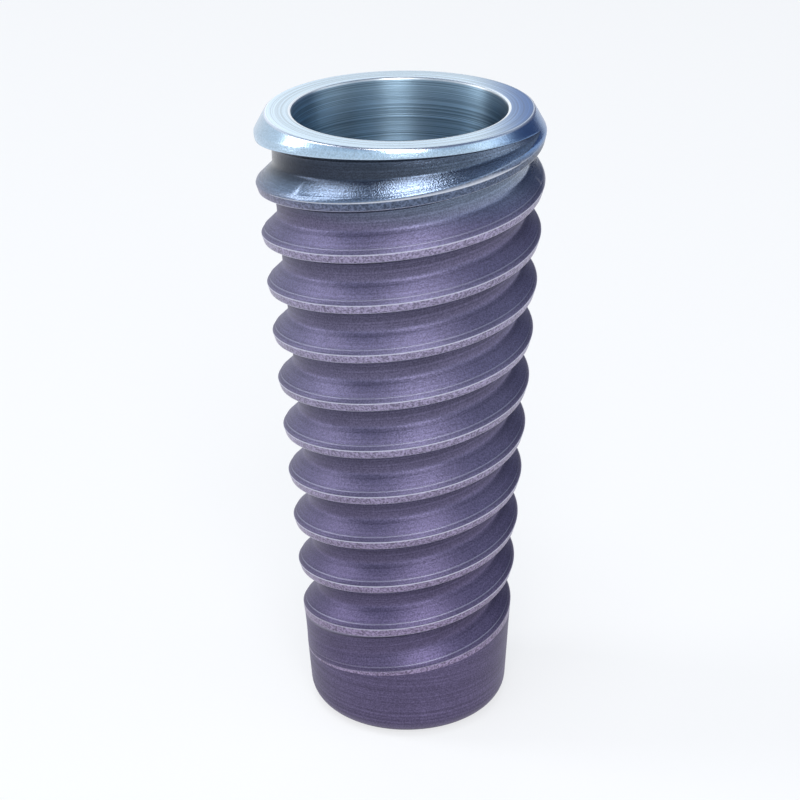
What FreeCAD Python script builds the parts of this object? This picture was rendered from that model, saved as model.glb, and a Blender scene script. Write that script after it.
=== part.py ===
import FreeCAD, Part
import math
import os

from FreeCAD import Placement, Rotation, Vector

# Root-form implant fixture, one turned piece, in millimetres.
# Origin: centre of the flat apex. +Z: up the axis, to the platform that carries the tooth's post.
# Seen from the front (-Y), the first thread runs out into the collar on the right.

# A right-hand double thread: the body is two equal sectors, half a turn apart.
THREAD_STARTS = 2
SECTOR = 2 * math.pi / THREAD_STARTS
SECTOR_STEPS = 16

# Shares and gaps that keep each groove open, at the narrow ends of its run-outs.
SMALLEST_SHARE = 0.03
EDGE_GAP = 0.01

SIZES = [
    ("overall_length", 10.0, "platform to apex"),
    ("seat_mouth_diameter", 3.22, "turned seat at the platform"),
    ("seat_taper", 2.0, "half angle of the seat, degrees"),
    ("seat_depth", 2.0, "depth of the turned seat"),
    ("mouth_chamfer", 0.04, "broken edge of the seat's mouth"),
    ("rim_width", 0.4, "flat turned ring round the mouth"),
    ("bevel_width", 0.18, "how far the bevel flares out from the flat ring"),
    ("bevel_height", 0.32, "height of the bevel"),
    ("collar_height", 0.54, "straight stretch between bevel and taper"),
    ("body_taper", 3.8, "half angle of the threaded body, degrees"),
    ("apex_radius", 0.35, "rounding of the apex edge"),
    ("thread_spacing", 0.8, "from crest to crest along the axis"),
    ("thread_depth", 0.27, "from crest to root"),
    ("crest_height", 0.133, "height of the crest's face"),
    ("crest_band", 0.03, "part of the crest's face that isn't undercut"),
    ("crest_lean", 0.03, "how far the crest's face leans in at its lower edge"),
    ("undercut_drop", 0.09, "fall of the lower flank from crest to root"),
    ("nose_height", 0.08, "rounded top of the upper flank, along the axis"),
    ("nose_depth", 0.047, "rounded top of the upper flank, inwards"),
    ("flank_height", 0.205, "straight upper flank, along the axis"),
    ("first_crest_drop", 0.503, "from the bevel down to the first crest's lower edge, at the front"),
    ("runout_angle", -15.0, "where the first groove closes, degrees from +X"),
    ("runout_span", 140.0, "turn over which it closes, degrees"),
    ("runout_rise", 0.14, "how much taller the crest's face is where the groove closes"),
    ("thread_end_gap", 0.15, "plain length between the last groove and the apex rounding"),
    ("hex_ledge", 0.1, "seat floor left round the corners of the hexagon"),
    ("hex_depth", 1.2, "depth of the hexagon under the seat"),
    ("screw_bore_diameter", 1.6, "bore of the retaining screw's thread"),
    ("screw_bore_depth", 7.0, "full bore, from the platform"),
    ("screw_lead_in", 0.15, "countersink of the screw bore"),
    ("drill_point", 59.0, "half angle of the drill point, degrees"),
    ("core_radius", 0.5, "solid core that the two sectors close round"),
    ("sector_inner_radius", 0.3, "inner wall of each sector, inside the core"),
]

doc = FreeCAD.newDocument("implant")
sheet = doc.addObject("Spreadsheet::Sheet", "Sizes")
for row, (alias, value, meaning) in enumerate(SIZES, start=1):
    sheet.set("A%d" % row, meaning)
    sheet.set("B%d" % row, str(value))
    sheet.setAlias("B%d" % row, alias)
doc.recompute()


def size(alias):
    return float(sheet.get(alias))


LEAD = THREAD_STARTS * size("thread_spacing")
RUNOUT_ANGLE = math.radians(size("runout_angle"))
RUNOUT_SPAN = math.radians(size("runout_span"))
TAPER = math.tan(math.radians(size("body_taper")))
PLATFORM_RADIUS = size("seat_mouth_diameter") / 2 + size("rim_width")
COLLAR_RADIUS = PLATFORM_RADIUS + size("bevel_width")
TAPER_START = size("bevel_height") + size("collar_height")
FRONT = -math.pi / 2


# The outline. Depths are measured down from the platform.
def outline_radius(depth):
    if depth < size("bevel_height"):
        return PLATFORM_RADIUS + size("bevel_width") * max(depth, 0.0) / size("bevel_height")
    return COLLAR_RADIUS - TAPER * max(depth - TAPER_START, 0.0)


def apex_rounding():
    """Flat radius, radius and depth where the rounding meets the taper, and the middle of its arc."""
    rounding = size("apex_radius")
    corner = outline_radius(size("overall_length"))
    lean = math.radians(size("body_taper"))
    reach = rounding / math.tan((math.pi / 2 + lean) / 2)
    flat_radius = corner - reach
    top = (corner + reach * math.sin(lean), size("overall_length") - reach * math.cos(lean))
    to_corner = math.hypot(reach, rounding)
    middle = (flat_radius + rounding * reach / to_corner,
              size("overall_length") - rounding + rounding * rounding / to_corner)
    return flat_radius, top, middle


# The thread. A groove's section is measured up and inwards from the crest edge under it.
GROOVE_FORM = [
    (0.0, 0.0),
    (size("nose_height"), size("nose_depth")),
    (size("nose_height") + size("flank_height"), size("thread_depth")),
    (size("thread_spacing") - size("crest_height") - size("undercut_drop"), size("thread_depth")),
    (size("thread_spacing") - size("crest_height"), size("crest_lean")),
    (size("thread_spacing") - size("crest_band"), 0.0),
]


def crest_depth(angle, thread):
    """Depth of the upper crest edge of one thread. Thread 1 is the uppermost at the front."""
    lower = size("bevel_height") + size("first_crest_drop") + (thread - 1) * size("thread_spacing")
    return lower - LEAD * (angle - FRONT) / (2 * math.pi) - size("crest_height")


def last_thread():
    apex_top = apex_rounding()[1][1]
    room = apex_top - size("thread_end_gap") - crest_depth(RUNOUT_ANGLE, 1)
    return 1 + int(room / size("thread_spacing"))


def runout_share(turn, span):
    """The collar's run-out opens fast at first and then levels out: 0 at its closed end, 1 past its span."""
    share = 1 - (1 - min(turn / span, 1.0)) ** 2
    return max(share, SMALLEST_SHARE)


def lead_in_share(turn, span):
    """The lowest groove deepens gently at both ends of its span: 0 at its start, 1 past its span."""
    part = min(turn / span, 1.0)
    return max(part * part * (3 - 2 * part), SMALLEST_SHARE)


def sector_section(angle):
    """Outer section of a sector at one angle, from the apex up, as pairs of radius and depth."""
    turned = angle - RUNOUT_ANGLE
    first = THREAD_STARTS
    last = last_thread()
    points = []
    for thread in range(last, first - 1, -1):
        share = 1.0
        depth_share = 1.0
        base = crest_depth(angle, thread)
        if thread == last:
            depth_share = lead_in_share(turned, SECTOR)
        if thread == first:
            share = runout_share(SECTOR - turned, RUNOUT_SPAN)
            depth_share = share
            base = base - size("runout_rise") * (1 - share)
            below = points[-1][1]
            shoulder = max(size("bevel_height"), base + EDGE_GAP)
            shoulder = min(shoulder, below - EDGE_GAP)
            points.append((outline_radius(shoulder), shoulder))
        for up, inward in GROOVE_FORM:
            depth = base - up * share
            points.append((outline_radius(depth) - inward * depth_share, depth))
    edge = min(size("bevel_height"), points[-1][1] - 2 * EDGE_GAP)
    points.append((outline_radius(edge), edge))
    return points


def at(radius, depth, angle):
    return Vector(radius * math.cos(angle), radius * math.sin(angle), size("overall_length") - depth)


def ring(radius, depth):
    start = math.degrees(RUNOUT_ANGLE)
    centre = Vector(0, 0, size("overall_length") - depth)
    return Part.makeCircle(radius, centre, Vector(0, 0, 1), start, start + math.degrees(SECTOR))


def spiral(points, angles):
    curve = Part.BSplineCurve()
    curve.interpolate(Points=points, Parameters=angles)
    return curve.toShape()


def flat_face(outer, inner):
    """Plane face between two arcs of one height and one span."""
    ends = (outer.FirstParameter, outer.LastParameter)
    sides = [Part.makeLine(outer.valueAt(end), inner.valueAt(end)) for end in ends]
    return Part.Face(Part.Wire(Part.__sortEdges__([outer, inner] + sides)))


def make_sector():
    """One sector of the threaded body: ruled helical faces, a rounded apex and two flat ends."""
    length = size("overall_length")
    inner = size("sector_inner_radius")
    flat_radius, apex_top, apex_middle = apex_rounding()
    angles = [RUNOUT_ANGLE + SECTOR * step / SECTOR_STEPS for step in range(SECTOR_STEPS + 1)]
    sections = [sector_section(angle) for angle in angles]

    edges = [ring(inner, length), ring(flat_radius, length), ring(*apex_top)]
    for column in zip(*sections):
        points = [at(radius, depth, angle) for (radius, depth), angle in zip(column, angles)]
        edges.append(spiral(points, angles))
    edges += [ring(PLATFORM_RADIUS, 0), ring(inner, 0)]

    foot_arc = Part.Arc(*[at(*spot, angles[0]) for spot in ((flat_radius, length), apex_middle, apex_top)])
    faces = [
        flat_face(edges[1], edges[0]),
        foot_arc.toShape().revolve(Vector(0, 0, 0), Vector(0, 0, 1), math.degrees(SECTOR)),
        flat_face(edges[-2], edges[-1]),
        Part.makeRuledSurface(edges[-1], edges[0]),
    ]
    for edge, next_edge in zip(edges[2:-2], edges[3:-1]):
        faces.append(Part.makeRuledSurface(edge, next_edge))

    for angle, section in ((angles[0], sections[0]), (angles[-1], sections[-1])):
        arc = Part.Arc(*[at(*spot, angle) for spot in ((flat_radius, length), apex_middle, apex_top)])
        corners = [apex_top] + section + [(PLATFORM_RADIUS, 0), (inner, 0), (inner, length), (flat_radius, length)]
        outline = Part.makePolygon([at(radius, depth, angle) for radius, depth in corners])
        faces.append(Part.Face(Part.Wire([arc.toShape()] + outline.Edges)))

    shell = Part.makeShell(faces)
    shell.sewShape()
    return Part.makeSolid(shell)


def add_sectors():
    shape = make_sector()
    sectors = []
    for start in range(THREAD_STARTS):
        sector = doc.addObject("Part::Feature", "ThreadedSector%d" % (start + 1))
        sector.Shape = shape
        turn = Rotation(Vector(0, 0, 1), math.degrees(SECTOR) * start)
        sector.Placement = Placement(Vector(0, 0, 0), turn)
        sectors.append(sector)
    return sectors


def add_core():
    core = doc.addObject("Part::Cylinder", "Core")
    core.setExpression("Radius", "Sizes.core_radius")
    core.setExpression("Height", "Sizes.overall_length")
    return core


# The connection inside: broken edge, tapered seat, hexagon, screw bore.
MOUTH_RADIUS = "Sizes.seat_mouth_diameter / 2"
SEAT_FLOOR_RADIUS = MOUTH_RADIUS + " - Sizes.seat_depth * tan(Sizes.seat_taper * 1deg)"
SCREW_RADIUS = "Sizes.screw_bore_diameter / 2"
HEX_FLOOR = "Sizes.overall_length - Sizes.seat_depth - Sizes.hex_depth"
SCREW_FLOOR = "Sizes.overall_length - Sizes.screw_bore_depth"


def add_cone(name, base, height, low_radius, high_radius):
    cone = doc.addObject("Part::Cone", name)
    cone.setExpression("Placement.Base.z", base)
    cone.setExpression("Height", height)
    cone.setExpression("Radius1", low_radius)
    cone.setExpression("Radius2", high_radius)
    return cone


def add_connection():
    mouth = add_cone("MouthChamfer", "Sizes.overall_length - 2 * Sizes.mouth_chamfer",
                     "3 * Sizes.mouth_chamfer",
                     MOUTH_RADIUS + " - Sizes.mouth_chamfer",
                     MOUTH_RADIUS + " + 2 * Sizes.mouth_chamfer")
    seat = add_cone("Seat", "Sizes.overall_length - Sizes.seat_depth", "Sizes.seat_depth",
                    SEAT_FLOOR_RADIUS, MOUTH_RADIUS)

    hexagon = doc.addObject("Part::Prism", "Hexagon")
    hexagon.Polygon = 6
    hexagon.setExpression("Circumradius", SEAT_FLOOR_RADIUS + " - Sizes.hex_ledge")
    hexagon.setExpression("Height", "Sizes.hex_depth + Sizes.seat_depth / 2")
    hexagon.setExpression("Placement.Base.z", HEX_FLOOR)

    lead_in = add_cone("ScrewLeadIn", HEX_FLOOR + " - 2 * Sizes.screw_lead_in",
                       "3 * Sizes.screw_lead_in",
                       SCREW_RADIUS + " - Sizes.screw_lead_in",
                       SCREW_RADIUS + " + 2 * Sizes.screw_lead_in")
    screw_bore = doc.addObject("Part::Cylinder", "ScrewBore")
    screw_bore.setExpression("Radius", SCREW_RADIUS)
    screw_bore.setExpression("Height", "Sizes.screw_bore_depth - Sizes.seat_depth")
    screw_bore.setExpression("Placement.Base.z", SCREW_FLOOR)

    point_height = "(" + SCREW_RADIUS + ") / tan(Sizes.drill_point * 1deg)"
    drill_point = add_cone("DrillPoint", SCREW_FLOOR + " - " + point_height, point_height,
                           "0", SCREW_RADIUS)

    cutters = doc.addObject("Part::MultiFuse", "Connection")
    cutters.Shapes = [mouth, seat, hexagon, lead_in, screw_bore, drill_point]
    return cutters


def add_fixture():
    body = doc.addObject("Part::MultiFuse", "TurnedBody")
    body.Shapes = add_sectors() + [add_core()]
    fixture = doc.addObject("Part::Cut", "Fixture")
    fixture.Base = body
    fixture.Tool = add_connection()
    fixture.Label = "implant_fixture"
    return fixture


pieces = [add_fixture()]
doc.recompute()

for item in doc.Objects:
    if "Invalid" in item.State or "Error" in item.State:
        raise RuntimeError("%s did not build: %s" % (item.Name, item.State))
for piece in pieces:
    if piece.Shape.isNull() or not piece.Shape.isValid() or len(piece.Shape.Solids) != 1:
        raise RuntimeError("%s is not one valid solid" % piece.Label)

os.makedirs("parts", exist_ok=True)
for piece in pieces:
    piece.Shape.exportStep("parts/%s.step" % piece.Label)
    box = piece.Shape.BoundBox
    print("%s: %.2f mm3, %d faces, %.3f x %.3f x %.3f mm" % (
        piece.Label, piece.Shape.Volume, len(piece.Shape.Faces), box.XLength, box.YLength, box.ZLength))
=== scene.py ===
import math
from collections import namedtuple

import bpy
from mathutils import Matrix, Vector


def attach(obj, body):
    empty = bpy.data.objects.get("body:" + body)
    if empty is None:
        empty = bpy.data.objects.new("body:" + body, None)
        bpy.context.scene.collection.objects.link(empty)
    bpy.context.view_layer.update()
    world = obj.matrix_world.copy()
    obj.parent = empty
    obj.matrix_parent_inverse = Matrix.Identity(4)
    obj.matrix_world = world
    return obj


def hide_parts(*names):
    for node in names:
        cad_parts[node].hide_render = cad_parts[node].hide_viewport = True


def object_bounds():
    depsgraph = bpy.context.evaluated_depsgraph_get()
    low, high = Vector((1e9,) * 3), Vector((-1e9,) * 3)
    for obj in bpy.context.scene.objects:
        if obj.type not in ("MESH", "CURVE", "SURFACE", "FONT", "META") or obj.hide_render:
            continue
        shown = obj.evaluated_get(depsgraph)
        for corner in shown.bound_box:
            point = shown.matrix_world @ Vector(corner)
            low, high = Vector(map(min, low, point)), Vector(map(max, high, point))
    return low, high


# Root-form implant fixture in titanium: turned ring and seat, blasted bevel, etched double thread.
# The sizes repeat the part's own, in millimetres, and MM turns them into the scene's metres.
MM = 0.001

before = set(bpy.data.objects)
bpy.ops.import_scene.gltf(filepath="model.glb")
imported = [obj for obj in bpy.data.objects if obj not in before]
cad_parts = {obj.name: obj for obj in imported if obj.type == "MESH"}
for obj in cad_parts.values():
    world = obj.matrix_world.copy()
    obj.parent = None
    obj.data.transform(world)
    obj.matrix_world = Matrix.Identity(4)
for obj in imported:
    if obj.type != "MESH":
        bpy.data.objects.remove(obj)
cad_low, cad_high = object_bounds()
LENGTH = (cad_high.z - cad_low.z) / MM

# Collar and body
SEAT_MOUTH_RADIUS = 1.61
RIM_WIDTH = 0.4
PLATFORM_RADIUS = SEAT_MOUTH_RADIUS + RIM_WIDTH
BEVEL_WIDTH = 0.18
BEVEL_HEIGHT = 0.32
COLLAR_RADIUS = PLATFORM_RADIUS + BEVEL_WIDTH
COLLAR_HEIGHT = 0.54
TAPER_START = BEVEL_HEIGHT + COLLAR_HEIGHT
TAPER_DEGREES = 3.8
TAPER = math.tan(math.radians(TAPER_DEGREES))
APEX_ROUNDING = 0.35
RING_EDGE = 0.015
COLLAR_BLEND = 0.03
# Rows of the collar's rounded edge, as depths from the bevel's lower edge, and rows higher up the bevel
COLLAR_EDGE_OFFSETS = (0.14, 0.1, 0.07, 0.045, 0.025, 0.01, -0.005, -0.02, -0.04, -0.07)
BEVEL_DEPTHS = (0.19, 0.14, 0.09, 0.05)
# Rows of the plain foot, as shares of the gap between the lowest crest and the rounding
FOOT_SHARES = (0.5, 0.33, 0.165)

# Thread, measured up and inwards from the crest edge under each groove
STARTS = 2
SPACING = 0.8
THREAD_DEPTH = 0.27
CREST_HEIGHT = 0.133
CREST_LEAN = 0.03
CREST_BAND = 0.03
UNDERCUT_DROP = 0.09
NOSE_HEIGHT = 0.08
NOSE_DEPTH = 0.047
FLANK_HEIGHT = 0.205
ROOT_FILLET = 0.05
EDGE_ROUNDING = 0.012
STEP_DEPTH = 0.018
STEP_HEIGHT = 0.008
# Rounded top of the upper flank: up, inwards, and how far the fine step drops it
NOSE_ROWS = (
    (0.0, 0.0, 0.0),
    (EDGE_ROUNDING, 0.004, 0.001),
    (0.035, 0.014, 0.006),
    (0.06, 0.029, 0.014),
    (NOSE_HEIGHT - STEP_HEIGHT / 2, 0.043, STEP_DEPTH),
    (NOSE_HEIGHT + STEP_HEIGHT / 2, 0.052, 0.0),
)
FIRST_CREST_DROP = 0.503
RUNOUT_DEGREES = -15.0
RUNOUT_SPAN_DEGREES = 140.0
RUNOUT_RISE = 0.14
THREAD_END_GAP = 0.15
# Shares of the run-out's half turn: the fine step is missing between these two, and each end of it fades
STEP_STOPS = 0.0
STEP_STARTS = 0.32
STEP_FADE = 0.03

# Connection inside
MOUTH_CHAMFER = 0.04
# Shares of the chamfer at which its slope turns and ends
CHAMFER_TURN = 0.3
CHAMFER_END = 1.1
SEAT_DEPTH = 2.0
SEAT_TAPER = math.tan(math.radians(2.0))
HEX_LEDGE = 0.1
HEX_DEPTH = 1.2
HEX_CHAMFER = 0.03
SCREW_BORE_RADIUS = 0.8
SCREW_BORE_DEPTH = 7.0
SCREW_LEAD_IN = 0.15
DRILL_POINT_DEGREES = 59.0
SCREW_PITCH = 0.35
SCREW_RIDGE = 0.17
SCREW_SUNK = 0.02
SCREW_FOOT_SHARE = 0.42
SCREW_TIP_SHARE = 0.08
SCREW_FADING_TURNS = 0.5

# How bright the painted highlights along the edges are and how dark the painted shade in the deep corners is,
# from 0 to 1
RING_HIGHLIGHT = 0.9
CREST_HIGHLIGHT = 0.8
STEP_HIGHLIGHT = 0.45
RECESS_SHADE = 0.6
BEVEL_SHADE = 0.9
# Share of the run-out's half turn over which the painted edge highlight and painted shade come in
COLLAR_FADE = 0.15

# How fine the meshes are
SECTOR_COLUMNS = 120
ARC_STEPS = 4
SHORT_ARC_STEPS = 2
BAND_STEPS = 4
APEX_STEPS = 12
SEAT_STEPS = 6
SCREW_COLUMNS = 48
MERGE = 0.0001
SHARP_DEGREES = 35

# The zones that a row of the surface may belong to: each has its own rule for depth.
TURNED, THREAD, LOWEST_GROOVE, FAN, SHOULDER, CLOSING_GROOVE, COLLAR = range(7)
# The finishes, in the order of the materials.
TURNED_FINISH, BLASTED_FINISH, ETCHED_FINISH, SEAT_FINISH = range(4)

# A row of the surface, from which one line of points is swept round the axis
WHOLE_FIELDS = ("zone", "finish")
LENGTH_FIELDS = ("depth", "up", "inward", "step", "radius")
SHARE_FIELDS = ("hexagon", "recess", "edge", "shade")
Row = namedtuple("Row", WHOLE_FIELDS + LENGTH_FIELDS + SHARE_FIELDS,
                 defaults=[0.0] * len(LENGTH_FIELDS + SHARE_FIELDS))


def seat_radius(depth):
    return SEAT_MOUTH_RADIUS - SEAT_TAPER * depth


def body_radius(depth):
    return COLLAR_RADIUS - TAPER * max(depth - TAPER_START, 0.0)


def crest_depth(degrees, thread):
    """Depth of a thread's upper crest edge under the platform. Thread 1 is the uppermost at the front."""
    lower = BEVEL_HEIGHT + FIRST_CREST_DROP + (thread - 1) * SPACING
    return lower - STARTS * SPACING * (degrees + 90) / 360 - CREST_HEIGHT


def arc(corner, before, after, radius, steps=ARC_STEPS):
    """Points that round a corner of an outline, between the points before and after it."""
    corner, before, after = Vector(corner), Vector(before), Vector(after)
    start = corner + (before - corner).normalized() * radius
    end = corner + (after - corner).normalized() * radius
    points = []
    for step in range(steps + 1):
        share = step / steps
        points.append(start.lerp(corner, share).lerp(corner.lerp(end, share), share))
    return points


def groove_rows(zone, depth=0.0):
    """Rows of one groove, from the crest edge under it to the crest edge over it."""
    root_height = NOSE_HEIGHT + FLANK_HEIGHT
    roof_height = SPACING - CREST_HEIGHT - UNDERCUT_DROP
    crest_height = SPACING - CREST_HEIGHT
    nose = (NOSE_HEIGHT, NOSE_DEPTH)
    root = (root_height, THREAD_DEPTH)
    roof = (roof_height, THREAD_DEPTH)
    crest_foot = (crest_height, CREST_LEAN)
    band_foot = (SPACING - CREST_BAND, 0.0)
    band_top = Vector((SPACING - EDGE_ROUNDING, 0.0))

    groove = arc(root, nose, roof, ROOT_FILLET)
    groove += arc(roof, root, crest_foot, ROOT_FILLET, SHORT_ARC_STEPS)
    edge_start, edge_middle, edge_end = arc(crest_foot, roof, band_foot, EDGE_ROUNDING, SHORT_ARC_STEPS)
    groove.append(edge_start)
    crest = [edge_middle, edge_end]
    crest += [edge_end.lerp(band_top, step / BAND_STEPS) for step in range(1, BAND_STEPS + 1)]
    crest.append(Vector((SPACING, 0.0)))
    points = [(up, inward, step, ETCHED_FINISH) for up, inward, step in NOSE_ROWS]
    points += [(point.x, point.y, 0.0, ETCHED_FINISH) for point in groove]
    points += [(point.x, point.y, 0.0, BLASTED_FINISH) for point in crest]

    rows = []
    for up, inward, step, finish in points:
        cut_share = min(inward / THREAD_DEPTH, 1.0)
        toward_roof = min(max((up - root_height) / (roof_height - root_height), 0.0), 1.0)
        # Painted shade in the groove's upper corner, and a painted shadow under the bevel
        recess = RECESS_SHADE * cut_share * toward_roof ** 2
        shade = BEVEL_SHADE * cut_share * (up > root_height - ROOT_FILLET * 2)
        # Painted highlights along the crest edges and the fine step
        to_crest_edge = min(up, SPACING - up, abs(up - crest_height))
        edge = CREST_HIGHLIGHT * (to_crest_edge < EDGE_ROUNDING / 2) + STEP_HIGHLIGHT * (step == STEP_DEPTH)
        rows.append(Row(zone, finish, depth, up, inward, step, recess=recess, edge=edge, shade=shade))
    return rows


def turned(radius, depth, finish=TURNED_FINISH, hexagon=0.0, edge=0.0):
    """Row that is plainly turned, or milled to a hexagon whose corners have that radius."""
    return Row(TURNED, finish, depth, radius=radius, hexagon=hexagon, edge=edge)


def apex_rows():
    """Flat foot and its rounded edge, from the centre outwards, and the depth where the rounding starts."""
    reach = APEX_ROUNDING / math.tan(math.radians(90 + TAPER_DEGREES) / 2)
    flat_radius = body_radius(LENGTH) - reach
    rows = [turned(0.0, LENGTH, ETCHED_FINISH), turned(flat_radius / 2, LENGTH, ETCHED_FINISH)]
    sweep = math.radians(90 - TAPER_DEGREES)
    for step in range(APEX_STEPS + 1):
        angle = sweep * step / APEX_STEPS
        radius = flat_radius + APEX_ROUNDING * math.sin(angle)
        depth = LENGTH - APEX_ROUNDING * (1 - math.cos(angle))
        rows.append(turned(radius, depth, ETCHED_FINISH))
    return rows, LENGTH - reach * math.cos(math.radians(TAPER_DEGREES))


def last_thread(apex_top):
    """The lowest thread that still leaves the gap over the foot's rounding."""
    room = apex_top - THREAD_END_GAP - crest_depth(RUNOUT_DEGREES, 1)
    return 1 + int(room / SPACING)


def collar_depths():
    """Depths of the collar's rows, from its straight stretch up to the ring's edge."""
    depths = [BEVEL_HEIGHT + offset for offset in COLLAR_EDGE_OFFSETS]
    # The closing groove ends at this depth, so a row lies there
    depths.append(crest_depth(RUNOUT_DEGREES + 360 / STARTS, STARTS) - RUNOUT_RISE)
    depths += [*BEVEL_DEPTHS, RING_EDGE * 2, RING_EDGE]
    return sorted(depths, reverse=True)


def outside_rows():
    rows, apex_top = apex_rows()
    last = last_thread(apex_top)
    lowest = crest_depth(RUNOUT_DEGREES, last)
    for share in FOOT_SHARES:
        depth = lowest + THREAD_END_GAP * share
        rows.append(turned(body_radius(depth), depth, ETCHED_FINISH))
    rows += groove_rows(FAN)
    rows += groove_rows(LOWEST_GROOVE, lowest)
    for thread in range(last - 1, STARTS, -1):
        rows += groove_rows(THREAD, crest_depth(RUNOUT_DEGREES, thread))
    rows += [Row(SHOULDER, BLASTED_FINISH, depth) for depth in collar_depths()]
    rows += groove_rows(CLOSING_GROOVE)
    rows += [Row(COLLAR, BLASTED_FINISH, depth) for depth in collar_depths()]
    # Painted highlight along the ring's outer edge
    rows[-1] = rows[-1]._replace(edge=RING_HIGHLIGHT)
    return rows, last


def inside_rows():
    """Ring, broken edge, tapered seat, hexagon, countersunk bore and drill point, from the rim inwards."""
    chamfer = MOUTH_CHAMFER
    bend = chamfer * CHAMFER_TURN
    corner_radius = seat_radius(SEAT_DEPTH) - HEX_LEDGE
    hex_floor = SEAT_DEPTH + HEX_DEPTH
    tip = SCREW_BORE_DEPTH + SCREW_BORE_RADIUS / math.tan(math.radians(DRILL_POINT_DEGREES))
    # Painted highlights along the ring's edges and the seat's mouth
    rows = [
        turned(PLATFORM_RADIUS - RING_EDGE, 0.0, edge=RING_HIGHLIGHT),
        turned(PLATFORM_RADIUS - RING_EDGE * 2, 0.0),
        turned(PLATFORM_RADIUS - RIM_WIDTH / 2, 0.0),
        turned(SEAT_MOUTH_RADIUS + chamfer + RING_EDGE, 0.0),
        turned(SEAT_MOUTH_RADIUS + chamfer, 0.0, edge=RING_HIGHLIGHT),
        turned(SEAT_MOUTH_RADIUS + bend, bend, SEAT_FINISH, edge=RING_HIGHLIGHT),
        turned(seat_radius(chamfer), chamfer * CHAMFER_END, SEAT_FINISH),
    ]
    for step in range(1, SEAT_STEPS + 1):
        depth = chamfer + (SEAT_DEPTH - chamfer) * step / SEAT_STEPS
        rows.append(turned(seat_radius(depth), depth, SEAT_FINISH))
    rows += [
        turned(corner_radius + HEX_CHAMFER, SEAT_DEPTH, SEAT_FINISH, hexagon=1.0),
        turned(corner_radius, SEAT_DEPTH + HEX_CHAMFER, SEAT_FINISH, hexagon=1.0),
        turned(corner_radius, hex_floor, SEAT_FINISH, hexagon=1.0),
        turned(SCREW_BORE_RADIUS + SCREW_LEAD_IN, hex_floor, SEAT_FINISH),
        turned(SCREW_BORE_RADIUS, hex_floor + SCREW_LEAD_IN, SEAT_FINISH),
        turned(SCREW_BORE_RADIUS, SCREW_BORE_DEPTH, SEAT_FINISH),
        turned(0.0, tip, SEAT_FINISH),
    ]
    return rows


def section_mesh(name, fields):
    """One vertex for each row of a swept surface, which carries the row's fields as attributes."""
    count = len(next(iter(fields.values())))
    mesh = bpy.data.meshes.new(name)
    mesh.from_pydata([(0, 0, number * MM) for number in range(count)], [], [])
    for field, values in fields.items():
        kind = "INT" if field in WHOLE_FIELDS else "FLOAT"
        mesh.attributes.new(field, kind, "POINT").data.foreach_set("value", values)
    return mesh


def add_node(tree, kind, inputs=(), **settings):
    """Adds a node, sets it and feeds its inputs with values, sockets or the first output of other nodes."""
    node = tree.nodes.new(kind)
    for name, value in settings.items():
        setattr(node, name, value)
    pairs = inputs.items() if isinstance(inputs, dict) else enumerate(inputs)
    by_identifier = {socket.identifier: socket for socket in node.inputs}
    for place, value in pairs:
        socket = by_identifier[place] if place in by_identifier else node.inputs[place]
        if isinstance(value, bpy.types.Node):
            value = next(output for output in value.outputs if output.enabled)
        if isinstance(value, bpy.types.NodeSocket):
            tree.links.new(value, socket)
        else:
            socket.default_value = value
    return node


# Shader and geometry trees use the same node for sums
MATH = "ShaderNodeMath"


def new_tree(name, sizes):
    """A geometry tree with an input for each size. Returns it with its inputs and its result."""
    tree = bpy.data.node_groups.new(name, "GeometryNodeTree")
    tree.interface.new_socket("Geometry", in_out="INPUT", socket_type="NodeSocketGeometry")
    for label, value in sizes.items():
        kind = "NodeSocketInt" if isinstance(value, int) else "NodeSocketFloat"
        tree.interface.new_socket(label, in_out="INPUT", socket_type=kind)
    tree.interface.new_socket("Geometry", in_out="OUTPUT", socket_type="NodeSocketGeometry")
    given = tree.nodes.new("NodeGroupInput")
    result = tree.nodes.new("NodeGroupOutput")
    return tree, given.outputs, result


def apply_tree(name, section, tree, sizes):
    """Runs the tree on a section and returns the result as an object with a plain mesh."""
    source = bpy.data.objects.new(name + "_source", section)
    bpy.context.scene.collection.objects.link(source)
    modifier = source.modifiers.new("Rule", "NODES")
    modifier.node_group = tree
    for item in tree.interface.items_tree:
        if item.item_type == "SOCKET" and item.in_out == "INPUT" and item.name in sizes:
            modifier[item.identifier] = sizes[item.name]
    graph = bpy.context.evaluated_depsgraph_get()
    mesh = bpy.data.meshes.new_from_object(source.evaluated_get(graph), depsgraph=graph)
    bpy.data.objects.remove(source)
    mesh.name = name
    piece = bpy.data.objects.new(name, mesh)
    bpy.context.scene.collection.objects.link(piece)
    return piece


def sweep_grid(tree, index, rows, columns):
    """Grid with a line of points for each row of the section, and the row and column of each point."""
    across = add_node(tree, MATH, [columns, 1.0], operation="ADD")
    grid = add_node(tree, "GeometryNodeMeshGrid", {"Vertices X": rows, "Vertices Y": across})
    row = add_node(tree, MATH, [index, across], operation="DIVIDE")
    row = add_node(tree, MATH, [row], operation="FLOOR")
    column = add_node(tree, MATH, [index, across], operation="FLOORED_MODULO")
    return grid, row, column


def read_section(tree, section, fields, row):
    """What the section's vertex of that row carries, by field."""
    values = {}
    for field in fields:
        kind = "INT" if field in WHOLE_FIELDS else "FLOAT"
        named = add_node(tree, "GeometryNodeInputNamedAttribute", {"Name": field}, data_type=kind)
        values[field] = add_node(tree, "GeometryNodeSampleIndex",
                                 {"Geometry": section, "Value": named, "Index": row}, data_type=kind)
    return values


def place_round_axis(tree, grid, radius, angle, height):
    """Puts each point of the grid at its radius, angle and height."""
    cosine = add_node(tree, MATH, [angle], operation="COSINE")
    sine = add_node(tree, MATH, [angle], operation="SINE")
    x = add_node(tree, MATH, [radius, cosine], operation="MULTIPLY")
    y = add_node(tree, MATH, [radius, sine], operation="MULTIPLY")
    place = add_node(tree, "ShaderNodeCombineXYZ", [x, y, height])
    return add_node(tree, "GeometryNodeSetPosition", {"Geometry": grid, "Position": place})


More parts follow.
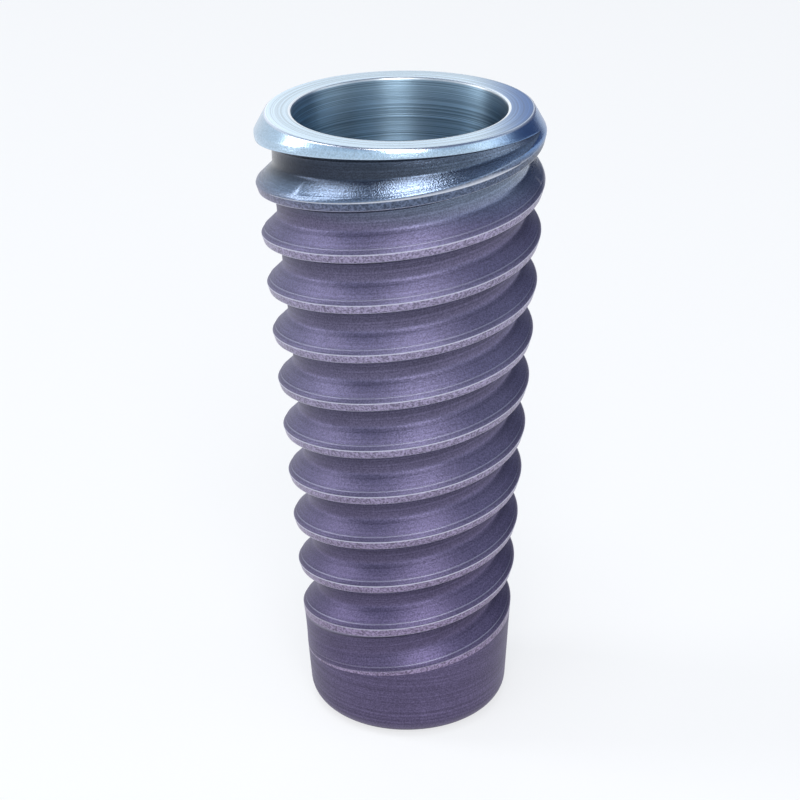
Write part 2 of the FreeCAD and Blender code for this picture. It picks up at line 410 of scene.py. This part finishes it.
def runout_shares(tree, size, turn, sector):
    """How far the closing groove is shut and open at each turn. It opens fast and then levels out."""
    left = add_node(tree, MATH, [1.0, turn], operation="SUBTRACT")
    left = add_node(tree, MATH, [left, sector], operation="MULTIPLY")
    left = add_node(tree, MATH, [left, size["Runout span"]], operation="DIVIDE")
    left = add_node(tree, MATH, [left, 1.0], operation="MINIMUM")
    shut = add_node(tree, MATH, [1.0, left], operation="SUBTRACT")
    shut = add_node(tree, MATH, [shut, 2.0], operation="POWER")
    opened = add_node(tree, MATH, [1.0, shut], operation="SUBTRACT")
    return shut, opened


def depth_rules(tree, size, values, turn, shut, opened):
    """Depth under the platform by the rule of each zone, in the order of the zones."""
    # Crest edges climb with the turn, and the one under the closing groove rises more where that shuts
    climb = add_node(tree, MATH, [turn, size["Spacing"]], operation="MULTIPLY")
    crest = add_node(tree, MATH, [size["Upper crest"], climb], operation="SUBTRACT")
    rise = add_node(tree, MATH, [shut, size["Runout rise"]], operation="MULTIPLY")
    groove_foot = add_node(tree, MATH, [crest, rise], operation="SUBTRACT")
    groove_top = add_node(tree, MATH, [opened, size["Spacing"]], operation="MULTIPLY")
    groove_top = add_node(tree, MATH, [groove_foot, groove_top], operation="SUBTRACT")

    thread = add_node(tree, MATH, [values["depth"], climb], operation="SUBTRACT")
    thread = add_node(tree, MATH, [thread, values["up"]], operation="SUBTRACT")
    fan = add_node(tree, MATH, [values["up"], turn], operation="MULTIPLY")
    fan = add_node(tree, MATH, [size["Lowest crest"], fan], operation="SUBTRACT")
    shoulder = add_node(tree, MATH, [values["depth"], crest], operation="MINIMUM")
    shoulder = add_node(tree, MATH, [shoulder, groove_foot], operation="MAXIMUM")
    closing = add_node(tree, MATH, [values["up"], opened], operation="MULTIPLY")
    closing = add_node(tree, MATH, [groove_foot, closing], operation="SUBTRACT")
    collar = add_node(tree, MATH, [values["depth"], groove_top], operation="MINIMUM")
    return [values["depth"], thread, thread, fan, shoulder, closing, collar]


def cut_inwards(tree, values, turn, cut, is_closing):
    """How far the groove goes in from the outline, with the fine step on its flank."""
    stops = add_node(tree, "ShaderNodeMapRange",
                     {"Value": turn, "From Min": STEP_STOPS, "From Max": STEP_STOPS + STEP_FADE,
                      "To Min": 1.0, "To Max": 0.0})
    starts = add_node(tree, "ShaderNodeMapRange",
                      {"Value": turn, "From Min": STEP_STARTS, "From Max": STEP_STARTS + STEP_FADE})
    stepped = add_node(tree, MATH, [stops, starts], operation="ADD")
    elsewhere = add_node(tree, MATH, [1.0, is_closing], operation="SUBTRACT")
    stepped = add_node(tree, MATH, [stepped, elsewhere], operation="MAXIMUM")
    inward = add_node(tree, MATH, [values["step"], stepped, values["inward"]], operation="MULTIPLY_ADD")
    return add_node(tree, MATH, [inward, cut], operation="MULTIPLY")


def outline(tree, size, depth):
    """Radius of the bevel and of the tapered body, blended at the collar's rounded edge."""
    below = add_node(tree, MATH, [depth, 0.0], operation="MAXIMUM")
    bevel = add_node(tree, MATH, [below, size["Bevel slope"], size["Platform radius"]],
                     operation="MULTIPLY_ADD")
    tapered = add_node(tree, MATH, [depth, size["Taper start"]], operation="SUBTRACT")
    tapered = add_node(tree, MATH, [tapered, 0.0], operation="MAXIMUM")
    tapered = add_node(tree, MATH, [tapered, size["Taper"]], operation="MULTIPLY")
    tapered = add_node(tree, MATH, [size["Collar radius"], tapered], operation="SUBTRACT")
    return add_node(tree, MATH, [bevel, tapered, size["Collar blend"]], operation="SMOOTH_MIN")


def turned_radius(tree, values, angle):
    """The row's own radius, or for a hexagon's row that of the flats between its corners."""
    sixth = math.pi / 3
    from_flat = add_node(tree, MATH, [angle, sixth], operation="FLOORED_MODULO")
    from_flat = add_node(tree, MATH, [from_flat, sixth / 2], operation="SUBTRACT")
    cosine = add_node(tree, MATH, [from_flat], operation="COSINE")
    flat = add_node(tree, MATH, [math.cos(sixth / 2), cosine], operation="DIVIDE")
    share = add_node(tree, "ShaderNodeMix",
                     {"Factor_Float": values["hexagon"], "A_Float": 1.0, "B_Float": flat})
    return add_node(tree, MATH, [values["radius"], share], operation="MULTIPLY")


def surface_marks(tree, values, turn, depth, cut, is_turned, is_closing, is_plain):
    """Painted shade in the deep corners, painted highlights along the edges, and the way across the turning
    marks, by attribute.
    """
    # Under the bevel the root gets a painted shadow, and the collar's lower edge gets no painted highlight as
    # the crests do
    under_bevel = add_node(tree, "ShaderNodeMapRange",
                           {"Value": turn, "From Min": 0.0, "From Max": COLLAR_FADE},
                           interpolation_type="SMOOTHSTEP")
    under_bevel = add_node(tree, MATH, [under_bevel, is_closing], operation="MULTIPLY")
    shade = add_node(tree, MATH, [values["shade"], under_bevel], operation="MULTIPLY")
    recess = add_node(tree, MATH, [values["recess"], shade], operation="MAXIMUM")
    recess = add_node(tree, MATH, [recess, cut], operation="MULTIPLY")
    highlighted_zone = add_node(tree, MATH, [values["zone"], float(COLLAR), 0.5], operation="COMPARE")
    highlighted_zone = add_node(tree, MATH, [highlighted_zone, is_turned], operation="ADD")
    painted_highlight = add_node(tree, MATH, [cut, under_bevel], operation="SUBTRACT")
    highlighted_zone = add_node(tree, MATH, [highlighted_zone, painted_highlight], operation="MAXIMUM")
    edge = add_node(tree, MATH, [values["edge"], highlighted_zone], operation="MULTIPLY")
    across = add_node(tree, "ShaderNodeMix",
                      {"Factor_Float": is_plain, "A_Float": values["up"], "B_Float": depth})
    return {"recess": recess, "edge": edge, "across": across}


def body_tree(sizes, materials):
    """Sweeps the section round one sector by the rule of each zone, and repeats it for each start."""
    tree, size, result = new_tree("threaded body", sizes)
    index = add_node(tree, "GeometryNodeInputIndex")
    grid, row, column = sweep_grid(tree, index, size["Rows"], size["Columns"])
    values = read_section(tree, size["Geometry"], Row._fields, row)

    # How far round the sector a point lies, from 0 to 1, and its angle
    turn = add_node(tree, MATH, [column, size["Columns"]], operation="DIVIDE")
    sector = add_node(tree, MATH, [2 * math.pi, size["Starts"]], operation="DIVIDE")
    angle = add_node(tree, MATH, [turn, sector, size["Runout angle"]], operation="MULTIPLY_ADD")
    shut, opened = runout_shares(tree, size, turn, sector)
    eased_in = add_node(tree, "ShaderNodeMapRange", {"Value": turn}, interpolation_type="SMOOTHSTEP")

    is_turned, is_fan, is_closing = [
        add_node(tree, MATH, [values["zone"], float(zone), 0.5], operation="COMPARE")
        for zone in (TURNED, FAN, CLOSING_GROOVE)]
    is_plain = add_node(tree, MATH, [is_turned, is_fan], operation="ADD")

    # Depth under the platform and share of the groove's full cut, each by zone
    depths = depth_rules(tree, size, values, turn, shut, opened)
    cuts = [0.0, 1.0, eased_in, 0.0, 0.0, opened, 0.0]
    chosen = []
    for options in (depths, cuts):
        switch = add_node(tree, "GeometryNodeIndexSwitch", [values["zone"]], data_type="FLOAT")
        while len(switch.index_switch_items) < len(options):
            switch.index_switch_items.new()
        for place, option in enumerate(options, start=1):
            if isinstance(option, bpy.types.Node):
                tree.links.new(option.outputs[0], switch.inputs[place])
            else:
                switch.inputs[place].default_value = option
        chosen.append(switch)
    depth, cut = chosen

    inward = cut_inwards(tree, values, turn, cut, is_closing)
    radius = add_node(tree, MATH, [outline(tree, size, depth), inward], operation="SUBTRACT")
    radius = add_node(tree, "ShaderNodeMix",
                      {"Factor_Float": is_turned, "A_Float": radius,
                       "B_Float": turned_radius(tree, values, angle)})
    height = add_node(tree, MATH, [size["Length"], depth], operation="SUBTRACT")
    swept = place_round_axis(tree, grid, radius, angle, height)

    # A face takes the finish of the row under it, and a point keeps what its materials read
    face_row = add_node(tree, MATH, [index, size["Columns"]], operation="DIVIDE")
    face_row = add_node(tree, MATH, [face_row], operation="FLOOR")
    finish = read_section(tree, size["Geometry"], ["finish"], face_row)["finish"]
    swept = add_node(tree, "GeometryNodeStoreNamedAttribute",
                     {"Geometry": swept, "Name": "finish", "Value": finish}, data_type="INT", domain="FACE")
    marks = surface_marks(tree, values, turn, depth, cut, is_turned, is_closing, is_plain)
    for name, value in marks.items():
        swept = add_node(tree, "GeometryNodeStoreNamedAttribute",
                         {"Geometry": swept, "Name": name, "Value": value},
                         data_type="FLOAT", domain="POINT")

    # One sector for each start
    spots = add_node(tree, "GeometryNodePoints", {"Count": size["Starts"]})
    spots = add_node(tree, "GeometryNodeSetPosition", {"Geometry": spots, "Position": (0, 0, 0)})
    spin = add_node(tree, MATH, [index, sector], operation="MULTIPLY")
    spin = add_node(tree, "ShaderNodeCombineXYZ", [0.0, 0.0, spin])
    whole = add_node(tree, "GeometryNodeInstanceOnPoints",
                     {"Points": spots, "Instance": swept, "Rotation": spin})
    whole = add_node(tree, "GeometryNodeRealizeInstances", {"Geometry": whole})
    whole = add_node(tree, "GeometryNodeMergeByDistance", {"Geometry": whole, "Distance": size["Merge"]})
    whole = add_node(tree, "GeometryNodeFlipFaces", {"Mesh": whole})
    whole = add_node(tree, "GeometryNodeSetShadeSmooth", {"Geometry": whole})
    face_finish = add_node(tree, "GeometryNodeInputNamedAttribute", {"Name": "finish"}, data_type="INT")
    for number, material in enumerate(materials):
        painted = add_node(tree, MATH, [face_finish, float(number), 0.5], operation="COMPARE")
        whole = add_node(tree, "GeometryNodeSetMaterial",
                         {"Geometry": whole, "Selection": painted, "Material": material})
    tree.links.new(whole.outputs[0], result.inputs[0])
    return tree


def make_body(materials):
    outside, last = outside_rows()
    rows = outside + inside_rows()
    sizes = {
        "Rows": len(rows),
        "Columns": SECTOR_COLUMNS,
        "Starts": STARTS,
        "Runout angle": math.radians(RUNOUT_DEGREES),
        "Runout span": math.radians(RUNOUT_SPAN_DEGREES),
        "Runout rise": RUNOUT_RISE * MM,
        "Spacing": SPACING * MM,
        "Upper crest": crest_depth(RUNOUT_DEGREES, STARTS) * MM,
        "Lowest crest": crest_depth(RUNOUT_DEGREES, last) * MM,
        "Bevel slope": BEVEL_WIDTH / BEVEL_HEIGHT,
        "Platform radius": PLATFORM_RADIUS * MM,
        "Collar radius": COLLAR_RADIUS * MM,
        "Collar blend": COLLAR_BLEND * MM,
        "Taper start": TAPER_START * MM,
        "Taper": TAPER,
        "Length": LENGTH * MM,
        "Merge": MERGE * MM,
    }
    fields = {}
    for field in Row._fields:
        scale = MM if field in LENGTH_FIELDS else 1
        fields[field] = [getattr(row, field) * scale for row in rows]
    return apply_tree("implant_body", section_mesh("section", fields), body_tree(sizes, materials), sizes)


def screw_tree(sizes, material):
    """Sweeps the ridge's section up a right-hand helix and lets it fade out at both ends."""
    tree, size, result = new_tree("screw thread", sizes)
    index = add_node(tree, "GeometryNodeInputIndex")
    columns = add_node(tree, MATH, [size["Columns"], size["Turns"]], operation="MULTIPLY")
    grid, row, column = sweep_grid(tree, index, size["Rows"], columns)
    values = read_section(tree, size["Geometry"], ["rise", "inward"], row)
    turns = add_node(tree, MATH, [column, size["Columns"]], operation="DIVIDE")
    left = add_node(tree, MATH, [size["Turns"], turns], operation="SUBTRACT")
    fade = add_node(tree, MATH, [turns, left], operation="MINIMUM")
    fade = add_node(tree, MATH, [fade, size["Fading turns"]], operation="DIVIDE")
    fade = add_node(tree, MATH, [fade, 1.0], operation="MINIMUM")

    inward = add_node(tree, MATH, [values["inward"], fade, size["Root depth"]], operation="MULTIPLY_ADD")
    radius = add_node(tree, MATH, [size["Bore radius"], inward], operation="SUBTRACT")
    rise = add_node(tree, MATH, [values["rise"], fade], operation="MULTIPLY")
    height = add_node(tree, MATH, [turns, size["Pitch"], size["Low end"]], operation="MULTIPLY_ADD")
    height = add_node(tree, MATH, [height, rise], operation="ADD")
    angle = add_node(tree, MATH, [turns, 2 * math.pi], operation="MULTIPLY")
    ridge = place_round_axis(tree, grid, radius, angle, height)
    ridge = add_node(tree, "GeometryNodeRealizeInstances", {"Geometry": ridge})
    ridge = add_node(tree, "GeometryNodeMergeByDistance", {"Geometry": ridge, "Distance": size["Merge"]})
    ridge = add_node(tree, "GeometryNodeSetShadeSmooth", {"Geometry": ridge})
    ridge = add_node(tree, "GeometryNodeSetMaterial", {"Geometry": ridge, "Material": material})
    tree.links.new(ridge.outputs[0], result.inputs[0])
    return tree


def make_screw_thread(material):
    """Ridge of the screw's internal thread, a closed piece whose foot is sunk in the bore's wall."""
    foot = SCREW_PITCH * SCREW_FOOT_SHARE
    tip = SCREW_PITCH * SCREW_TIP_SHARE
    height = SCREW_RIDGE + SCREW_SUNK
    profile = [(-foot, 0.0), (-tip, height), (tip, height), (foot, 0.0), (-foot, 0.0)]
    fields = {
        "rise": [rise * MM for rise, inward in profile],
        "inward": [inward * MM for rise, inward in profile],
    }
    top = SEAT_DEPTH + HEX_DEPTH + SCREW_LEAD_IN + SCREW_PITCH
    bottom = SCREW_BORE_DEPTH - SCREW_PITCH
    sizes = {
        "Rows": len(profile),
        "Columns": SCREW_COLUMNS,
        "Turns": int((bottom - top) / SCREW_PITCH),
        "Fading turns": SCREW_FADING_TURNS,
        "Pitch": SCREW_PITCH * MM,
        "Low end": (LENGTH - bottom) * MM,
        "Bore radius": SCREW_BORE_RADIUS * MM,
        "Root depth": -SCREW_SUNK * MM,
        "Merge": MERGE * MM,
    }
    return apply_tree("screw_thread", section_mesh("ridge", fields), screw_tree(sizes, material), sizes)


# Finishes, with the widths of their grains and the spacing of their marks in millimetres
ETCHED_GRAIN = 0.024
BLASTED_GRAIN = 0.035
BEVEL_GRAIN = 0.028
CLOUD_SIZE = 1.2
RING_MARKS = 0.03
SEAT_MARKS = 0.022
BODY_MARKS = 0.035
MARK_DRIFT = 6.0
MARK_DEPTH = 0.004
ETCH_DEPTH = 0.0035
BLAST_DEPTH = 0.005
# The noise that draws a pattern lies mostly between these two values
NOISE_LOW = 0.35
NOISE_HIGH = 0.65
# Where each change down the body starts and ends, as depths under the platform
TO_BEVEL = (0.46, 0.3)
TO_STEEL = (1.3, 0.75)
TO_FOOT = (3.0, LENGTH - 1.0)
# Shares of the collar's radius between which a painted side shade turns the oxide from pale to deep blue, to
# the right
SIDE_SHADE_START = 0.45
SIDE_SHADE_END = 0.9


def linear(colour):
    """Scene-linear colour of an sRGB hex value."""
    parts = [int(colour[start:start + 2], 16) / 255 for start in (1, 3, 5)]
    return [part / 12.92 if part <= 0.04045 else ((part + 0.055) / 1.055) ** 2.4 for part in parts] + [1.0]


def new_material(name):
    material = bpy.data.materials.new(name)
    material.use_nodes = True
    tree = material.node_tree
    tree.nodes.clear()
    return material, tree


def grain_scale(size):
    """Noise scale for a pattern whose grains or lines are that many millimetres apart."""
    return 1 / (size * MM)


def change(height, depths, first=0.0, second=1.0):
    """Inputs for a number that goes from the first to the second between two depths."""
    start, end = [(LENGTH - depth) * MM for depth in depths]
    return {"Value": height, "From Min": start, "From Max": end, "To Min": first, "To Max": second}


def shaded(tree, colour, pattern, darkest, lightest=1.0):
    """The colour, darker where the noise pattern is low."""
    shade = add_node(tree, "ShaderNodeMapRange",
                     {"Value": pattern, "From Min": NOISE_LOW, "From Max": NOISE_HIGH,
                      "To Min": darkest, "To Max": lightest})
    return add_node(tree, "ShaderNodeMix", {"Factor_Float": 1.0, "A_Color": colour, "B_Color": shade},
                    data_type="RGBA", blend_type="MULTIPLY")


def painted_highlight(tree, colour, bright):
    """The colour with a painted highlight along the edges that the mesh marks."""
    edge = add_node(tree, "ShaderNodeAttribute", attribute_name="edge").outputs["Fac"]
    return add_node(tree, "ShaderNodeMix",
                    {"Factor_Float": edge, "A_Color": colour, "B_Color": linear(bright)}, data_type="RGBA")


def oxide_blue_with_side_shade(tree, position, pale, deep):
    """Blue of the oxide film with a painted side shade: pale on the implant's left and deep at its right end.
    """
    side = add_node(tree, "ShaderNodeSeparateXYZ", [position])
    share = add_node(tree, "ShaderNodeMapRange",
                     {"Value": side, "From Min": COLLAR_RADIUS * SIDE_SHADE_START * MM,
                      "From Max": COLLAR_RADIUS * SIDE_SHADE_END * MM},
                     interpolation_type="SMOOTHSTEP")
    return add_node(tree, "ShaderNodeMix",
                    {"Factor_Float": share, "A_Color": linear(pale), "B_Color": linear(deep)},
                    data_type="RGBA")


def turning_marks(tree, position, across, spacing):
    """Fine lines of a turning tool: they follow the circle, and drift a little along it."""
    along = grain_scale(MARK_DRIFT)
    scaled = add_node(tree, "ShaderNodeVectorMath", {0: position, 1: (along, along, 0.0)},
                      operation="MULTIPLY")
    lines = add_node(tree, MATH, [across, grain_scale(spacing)], operation="MULTIPLY")
    lines = add_node(tree, "ShaderNodeCombineXYZ", [0.0, 0.0, lines])
    place = add_node(tree, "ShaderNodeVectorMath", {0: scaled, 1: lines}, operation="ADD")
    return add_node(tree, "ShaderNodeTexNoise",
                    {"Vector": place, "Scale": 1.0, "Detail": 2.0, "Roughness": 0.6})


def finish_turned(tree, colour, marks, roughness, stretch):
    """Metal with the marks of a turning tool, which draw each glint out across them."""
    bump = add_node(tree, "ShaderNodeBump", {"Height": marks, "Distance": MARK_DEPTH * MM})
    tangent = add_node(tree, "ShaderNodeTangent", direction_type="RADIAL", axis="Z")
    shader = add_node(tree, "ShaderNodeBsdfPrincipled",
                      {"Base Color": colour, "Metallic": 1.0, "Roughness": roughness,
                       "Anisotropic": stretch, "Anisotropic Rotation": 0.25,
                       "Normal": bump, "Tangent": tangent})
    add_node(tree, "ShaderNodeOutputMaterial", [shader])


def make_turned_titanium():
    # Titanium faced on a lathe: bright, with fine circles. They are drawn coarser than real ones, to show
    material, tree = new_material("turned_titanium")
    position = add_node(tree, "ShaderNodeTexCoord").outputs["Object"]
    flat = add_node(tree, "ShaderNodeVectorMath", {0: position, 1: (1.0, 1.0, 0.0)}, operation="MULTIPLY")
    radius = add_node(tree, "ShaderNodeVectorMath", [flat], operation="LENGTH").outputs["Value"]
    marks = turning_marks(tree, position, radius, RING_MARKS)
    # Oxide blue, with painted shade that deepens it towards the right end
    colour = shaded(tree, oxide_blue_with_side_shade(tree, position, "#e6f5ff", "#2f68ad"), marks, 0.66)
    # The ring's edges get a painted highlight in white
    finish_turned(tree, painted_highlight(tree, colour, "#ffffff"), marks, 0.26, 0.55)
    return material


def make_bored_titanium():
    # The seat's wall is bored: its rings lie one over the other, and light runs down them in a soft stripe.
    # They are drawn coarser than real ones, to show
    material, tree = new_material("bored_titanium")
    position = add_node(tree, "ShaderNodeTexCoord").outputs["Object"]
    height = add_node(tree, "ShaderNodeSeparateXYZ", [position]).outputs["Z"]
    marks = turning_marks(tree, position, height, SEAT_MARKS)
    # Oxide blue, with painted shade that darkens the wall towards the right end
    colour = shaded(tree, oxide_blue_with_side_shade(tree, position, "#b2cfe4", "#1f2c48"), marks, 0.45)
    # The seat's mouth gets a painted highlight in white
    finish_turned(tree, painted_highlight(tree, colour, "#ffffff"), marks, 0.4, 0.8)
    return material


def etched_look(tree, position, height, lowest, middle, upper, grain, contrast):
    """Colour and grain of acid-etched titanium, with painted shade in the corners of the grooves and under
    the bevel.
    """
    deep = add_node(tree, "ShaderNodeMapRange", change(height, TO_FOOT), interpolation_type="SMOOTHSTEP")
    steel = add_node(tree, "ShaderNodeMapRange", change(height, TO_STEEL), interpolation_type="SMOOTHSTEP")
    recess = add_node(tree, "ShaderNodeAttribute", attribute_name="recess").outputs["Fac"]
    colour = linear(middle)
    # The dark #161c2c is painted shade, laid on by the recess attribute
    for share, other in ((deep, lowest), (steel, upper), (recess, "#161c2c")):
        colour = add_node(tree, "ShaderNodeMix",
                          {"Factor_Float": share, "A_Color": colour, "B_Color": linear(other)},
                          data_type="RGBA")
    grit = add_node(tree, "ShaderNodeTexNoise",
                    {"Vector": position, "Scale": grain_scale(grain), "Detail": 1.0, "Roughness": 0.65})
    cloud = add_node(tree, "ShaderNodeTexNoise",
                     {"Vector": position, "Scale": grain_scale(CLOUD_SIZE), "Detail": 2.0, "Roughness": 0.5})
    colour = shaded(tree, colour, grit, 1.0 - contrast)
    return shaded(tree, colour, cloud, 0.86), grit


def make_etched_titanium():
    # Body etched with acid: a dull purple-grey oxide with a fine grain over faint turning marks, and a steel
    # blue with more shine near the collar. Grain and marks are drawn coarser than real ones, to show
    material, tree = new_material("etched_titanium")
    position = add_node(tree, "ShaderNodeTexCoord").outputs["Object"]
    height = add_node(tree, "ShaderNodeSeparateXYZ", [position]).outputs["Z"]
    colour, grit = etched_look(tree, position, height, "#6f6588", "#817b9c", "#94a5bf", ETCHED_GRAIN, 0.38)
    across = add_node(tree, "ShaderNodeAttribute", attribute_name="across").outputs["Fac"]
    colour = shaded(tree, colour, turning_marks(tree, position, across, BODY_MARKS), 0.72, 1.08)
    rough = add_node(tree, "ShaderNodeMapRange", change(height, TO_STEEL, 0.47, 0.21),
                     interpolation_type="SMOOTHSTEP")
    bump = add_node(tree, "ShaderNodeBump", {"Height": grit, "Distance": ETCH_DEPTH * MM})
    # The crest edges and the fine step get a painted highlight
    shader = add_node(tree, "ShaderNodeBsdfPrincipled",
                      {"Base Color": painted_highlight(tree, colour, "#d9d9ea"), "Metallic": 0.9, "Roughness": rough,
                       "Normal": bump})
    add_node(tree, "ShaderNodeOutputMaterial", [shader])
    return material


def make_blasted_titanium():
    # Crests and bevel blasted with grit: a mottled grain on the crests, a pale blue satin on the bevel.
    # Both are drawn coarser than real ones, to show
    material, tree = new_material("blasted_titanium")
    position = add_node(tree, "ShaderNodeTexCoord").outputs["Object"]
    height = add_node(tree, "ShaderNodeSeparateXYZ", [position]).outputs["Z"]
    crest, grit = etched_look(tree, position, height, "#a495b8", "#aea5c6", "#6c7994", BLASTED_GRAIN, 0.6)
    satin = add_node(tree, "ShaderNodeTexNoise",
                     {"Vector": position, "Scale": grain_scale(BEVEL_GRAIN), "Detail": 2.0,
                      "Roughness": 0.6})
    # Oxide blue of the bevel, with painted shade that deepens it towards the right end
    bevel = shaded(tree, oxide_blue_with_side_shade(tree, position, "#c6ddf1", "#6b92c6"), satin, 0.78)
    share, rough, relief = [
        add_node(tree, "ShaderNodeMapRange", change(height, TO_BEVEL, *ends), interpolation_type="SMOOTHSTEP")
        for ends in ((0.0, 1.0), (0.36, 0.22), (1.0, 0.3))]
    colour = add_node(tree, "ShaderNodeMix", {"Factor_Float": share, "A_Color": crest, "B_Color": bevel},
                      data_type="RGBA")
    bump = add_node(tree, "ShaderNodeBump",
                    {"Height": grit, "Distance": BLAST_DEPTH * MM, "Strength": relief})
    # The crest edges and the ring's edge get a painted highlight
    shader = add_node(tree, "ShaderNodeBsdfPrincipled",
                      {"Base Color": painted_highlight(tree, colour, "#e6eaf4"), "Metallic": 0.95, "Roughness": rough,
                       "Normal": bump})
    add_node(tree, "ShaderNodeOutputMaterial", [shader])
    return material


def make_materials():
    return [make_turned_titanium(), make_blasted_titanium(), make_etched_titanium(), make_bored_titanium()]


# Studio. Directions are seen from the implant: azimuth 0 at the camera and 90 to the right, in degrees
FLOOR_HALF_WIDTH = 0.4
PAPER_SHARE = 0.7
CAMERA_PLACE = Vector((0, -30.857, LENGTH + 9.229)) * MM
CAMERA_TARGET = Vector((0, 0, LENGTH - 4.763)) * MM
CAMERA_ROLL = -0.0154
LAMP_TARGET = Vector((0, 0, LENGTH * 0.7)) * MM
SOFTBOXES = [
    # name, azimuth, elevation, distance, width and height, radiance
    ("front_strip", 4, 42, 0.12, (0.05, 0.075), 5.5),
    ("top_strip", -20, 76, 0.12, (0.04, 0.05), 6.5),
    ("left_strip", -98, 35, 0.12, (0.035, 0.11), 3.6),
    ("right_board", 82, 22, 0.12, (0.08, 0.055), 0.65),
    ("back_board", -172, 20, 0.14, (0.12, 0.06), 0.3),
]
# The walls are pale up to eye level and darken to the ceiling, by the height of a direction
WALL_STOPS = [(0.0, "#f3f7fb"), (0.6, "#d3e4f3"), (0.74, "#8499b8"), (0.9, "#4c5c78"), (1.0, "#5c6b85")]
# A deep blue wall behind on the right fades in between two cosines of the angle to its middle
DARK_WALL = (0.75, 0.66, 0.0)
DARK_WALL_COLOUR = "#5b6582"
DARK_WALL_START = 0.6
DARK_WALL_END = 0.95
WALL_STRENGTH = 0.9


def make_floor():
    half = FLOOR_HALF_WIDTH
    mesh = bpy.data.meshes.new("studio_floor")
    mesh.from_pydata([(-half, -half, 0), (half, -half, 0), (half, half, 0), (-half, half, 0)], [],
                     [(0, 1, 2, 3)])
    floor = bpy.data.objects.new("studio_floor", mesh)
    bpy.context.scene.collection.objects.link(floor)
    # Matt painted board, which the camera and the metal see as white paper while it keeps the shadow
    material, tree = new_material("pale_board")
    board = add_node(tree, "ShaderNodeBsdfPrincipled", {"Base Color": linear("#f2f4f7"), "Roughness": 0.8})
    paper = add_node(tree, "ShaderNodeEmission", {"Color": linear("#ffffff"), "Strength": 1.0})
    path = add_node(tree, "ShaderNodeLightPath").outputs
    seen = add_node(tree, MATH, [path["Is Camera Ray"], path["Is Glossy Ray"]], operation="MAXIMUM")
    seen = add_node(tree, MATH, [seen, path["Is Transmission Ray"]], operation="MAXIMUM")
    seen = add_node(tree, MATH, [seen, PAPER_SHARE], operation="MULTIPLY")
    shader = add_node(tree, "ShaderNodeMixShader", [seen, board, paper])
    add_node(tree, "ShaderNodeOutputMaterial", [shader])
    mesh.materials.append(material)


def aim(thing, place, target, roll=0.0):
    """Puts a lamp or the camera at a place, looking at the target."""
    forward = (target - place).normalized()
    right = forward.cross(Vector((0, 0, 1))).normalized()
    up = right.cross(forward)
    side = right * math.cos(roll) + up * math.sin(roll)
    top = up * math.cos(roll) - right * math.sin(roll)
    turn = Matrix((side, top, -forward)).transposed().to_4x4()
    thing.matrix_world = Matrix.Translation(place) @ turn


def make_camera():
    lens = bpy.data.cameras.new("camera")
    lens.lens = 96.9
    lens.sensor_width = 36.0
    lens.clip_start = 0.001
    lens.clip_end = 2.0
    lens.shift_x = -0.0051
    camera = bpy.data.objects.new("camera", lens)
    bpy.context.scene.collection.objects.link(camera)
    aim(camera, CAMERA_PLACE, CAMERA_TARGET, CAMERA_ROLL)
    bpy.context.scene.camera = camera


def make_softbox(name, azimuth, elevation, distance, size, radiance):
    turn = math.radians(azimuth)
    rise = math.radians(elevation)
    flat = distance * math.cos(rise)
    place = Vector((math.sin(turn) * flat, -math.cos(turn) * flat, math.sin(rise) * distance))
    light = bpy.data.lights.new(name, "AREA")
    light.shape = "RECTANGLE"
    light.size, light.size_y = size
    light.energy = radiance * math.pi * size[0] * size[1]
    lamp = bpy.data.objects.new(name, light)
    bpy.context.scene.collection.objects.link(lamp)
    aim(lamp, LAMP_TARGET + place, LAMP_TARGET)


def make_walls():
    world = bpy.data.worlds.new("studio")
    bpy.context.scene.world = world
    world.use_nodes = True
    tree = world.node_tree
    tree.nodes.clear()
    direction = add_node(tree, "ShaderNodeTexCoord").outputs["Generated"]
    height = add_node(tree, "ShaderNodeSeparateXYZ", [direction]).outputs["Z"]
    ramp = add_node(tree, "ShaderNodeValToRGB", [height])
    while len(ramp.color_ramp.elements) < len(WALL_STOPS):
        ramp.color_ramp.elements.new(0.5)
    for element, (spot, colour) in zip(ramp.color_ramp.elements, WALL_STOPS):
        element.position = spot
        element.color = linear(colour)
    facing = add_node(tree, "ShaderNodeVectorMath", {0: direction, 1: DARK_WALL}, operation="DOT_PRODUCT")
    share = add_node(tree, "ShaderNodeMapRange",
                     {"Value": facing.outputs["Value"], "From Min": DARK_WALL_START,
                      "From Max": DARK_WALL_END},
                     interpolation_type="SMOOTHSTEP")
    colour = add_node(tree, "ShaderNodeMix",
                      {"Factor_Float": share, "A_Color": ramp, "B_Color": linear(DARK_WALL_COLOUR)},
                      data_type="RGBA")
    background = add_node(tree, "ShaderNodeBackground", {"Color": colour, "Strength": WALL_STRENGTH})
    add_node(tree, "ShaderNodeOutputWorld", [background])


make_camera()
make_walls()
for softbox in SOFTBOXES:
    make_softbox(*softbox)
make_floor()
finishes = make_materials()
body = make_body(finishes)
screw_thread = make_screw_thread(finishes[SEAT_FINISH])
for piece in (body, screw_thread):
    piece.data.set_sharp_from_angle(angle=math.radians(SHARP_DEGREES))
    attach(piece, "root")
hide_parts("implant_fixture")

bpy.context.scene.view_settings.view_transform = "Standard"
